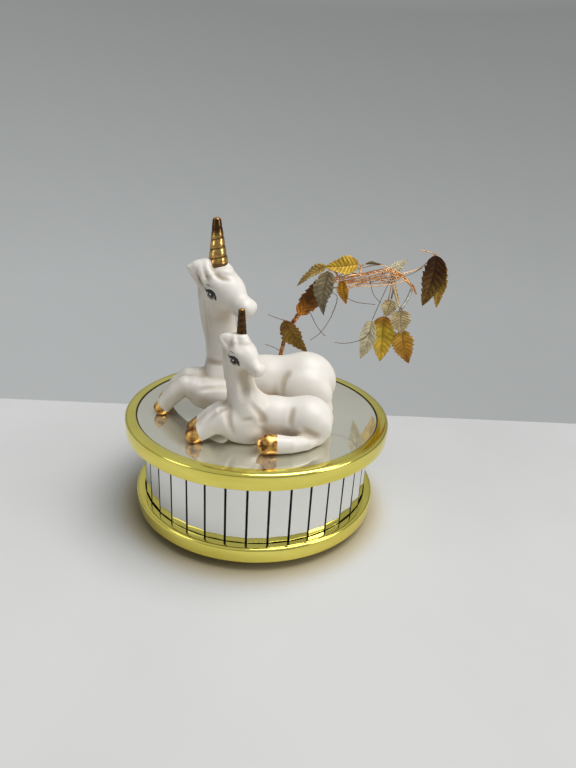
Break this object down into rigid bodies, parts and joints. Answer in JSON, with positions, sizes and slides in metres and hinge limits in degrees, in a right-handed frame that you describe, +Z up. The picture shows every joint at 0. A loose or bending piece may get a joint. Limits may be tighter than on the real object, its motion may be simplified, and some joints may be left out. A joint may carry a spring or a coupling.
{
  "type": "musical unicorn figurine",
  "caption": "Porcelain unicorn mare and foal with a wire leaf tree on a mirrored drum that revolves on its foot as the music movement inside plays.",
  "frame": {"origin": "on the drum's axis, on the face of the felt that the ornament stands on", "axes": "+Z up along the drum's axis, -Y towards the side that the figures are seen from, +X to that viewer's right"},
  "size_m": [0.1534, 0.124, 0.1355],
  "materials": {
    "felt": "pressed felt",
    "black_plastic": "moulded, fine grain",
    "steel": "bright turned steel",
    "nylon": "moulded nylon",
    "brass": "stamped and turned brass",
    "cast_frame": "die-cast grey metal",
    "gilt_rim": "polished, gold anodised",
    "mirror_glass": "silvered glass",
    "board": "pressed fibre board",
    "porcelain": "clear glossy glaze over white porcelain",
    "gold_lustre": "fired gold lustre",
    "copper_wire": "bare copper wire",
    "gold_foil": "embossed gilt foil",
    "copper_foil": "embossed copper foil",
    "silver_foil": "embossed silvery foil"
  },
  "bodies": {
    "foot": {"felt_pad": "felt", "foot_plate": "black_plastic", "stem_nut": "steel", "winding_stem": "steel", "thrust_washer": "nylon", "stem_clip": "steel", "main_gear": "brass"},
    "drum": {"bottom_plate": "black_plastic", "bottom_screws": "steel", "drum_shell": "black_plastic", "mirror_strips": "mirror_glass", "lower_rim": "gilt_rim", "upper_rim": "gilt_rim", "top_board": "board", "top_mirror": "mirror_glass", "bedplate": "cast_frame", "movement_screws": "steel", "spring_housing": "steel", "spring_cover": "steel", "mainspring": "steel", "inner_bearing": "brass", "outer_bearing": "brass", "comb_seat": "cast_frame", "comb": "steel", "comb_screws": "steel", "governor_frame": "brass", "mare": "porcelain", "mare_horn": "gold_lustre", "foal": "porcelain", "foal_horn": "gold_lustre", "tree_trunk": "copper_wire", "tree_branches": "copper_wire", "gold_leaves": "gold_foil", "copper_leaves": "copper_foil", "silver_leaves": "silver_foil"},
    "cylinder": {"tune_cylinder": "brass", "cylinder_shaft": "steel", "cylinder_pinion": "brass", "cylinder_gear": "brass"},
    "governor": {"governor_axle": "steel", "governor_pinion": "brass", "worm_wheel": "brass"},
    "fan": {"governor_worm": "steel", "fan_blade": "brass"}
  },
  "joints": [
    {"name": "drum_turn", "type": "hinge", "parent": "foot", "child": "drum", "pos_m": [0, 0, 0], "axis": [0, 0, 1], "continuous": true},
    {"name": "cylinder_turn", "type": "hinge", "parent": "drum", "child": "cylinder", "pos_m": [0, 0, 0.01673], "axis": [1, 0, 0], "continuous": true},
    {"name": "governor_turn", "type": "hinge", "parent": "drum", "child": "governor", "pos_m": [0, 0.00765, 0.01673], "axis": [1, 0, 0], "continuous": true},
    {"name": "fan_turn", "type": "hinge", "parent": "drum", "child": "fan", "pos_m": [0.02795, 0.01166, 0.01673], "axis": [0, 0, 1], "continuous": true}
  ],
  "couplings": [
    {"joint": "cylinder_turn", "follows": "drum_turn", "ratio": -3},
    {"joint": "governor_turn", "follows": "drum_turn", "ratio": 5.5},
    {"joint": "fan_turn", "follows": "drum_turn", "ratio": -77}
  ]
}
